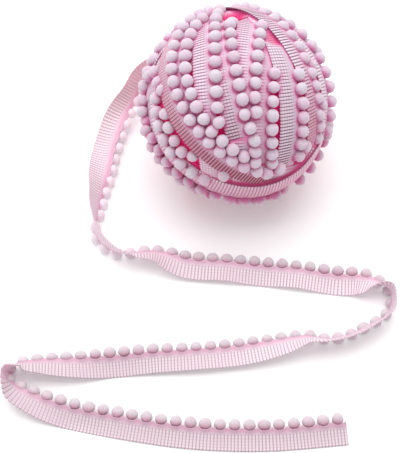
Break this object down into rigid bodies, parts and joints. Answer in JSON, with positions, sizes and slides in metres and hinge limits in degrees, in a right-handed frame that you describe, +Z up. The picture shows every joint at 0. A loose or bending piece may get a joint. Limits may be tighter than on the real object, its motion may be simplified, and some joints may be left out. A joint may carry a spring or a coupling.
{
  "type": "ball of pompom trim with a loose end",
  "caption": "Ball of ribbed ribbon trim edged with small pompoms, its loose end laid in flat S-bends in front.",
  "frame": {"origin": "middle of the ball's flat spot, on the surface it rests on", "axes": "+Z up; -Y from the ball toward the rows of its loose end; +X to the right, looking along +Y"},
  "size_m": [0.1881, 0.2091, 0.0938],
  "materials": {
    "wound_trim": "wound ribbed ribbon and cut pile, pale pink",
    "ribbed_tape": "ribbed polyester ribbon, pale pink, faint sheen",
    "pompoms": "short cut pile, pinkish white, matt"
  },
  "bodies": {
    "root": {"wound_ball": "wound_trim", "tail_tape": "ribbed_tape", "edge_strip_drop": "pompoms", "edge_strip_side": "pompoms", "edge_strip_first_run": "pompoms", "edge_strip_second_bend": "pompoms", "edge_strip_second_run": "pompoms", "edge_strip_third_bend": "pompoms", "edge_strip_last_run": "pompoms", "edge_strip_cut_end": "pompoms"}
  },
  "joints": []
}
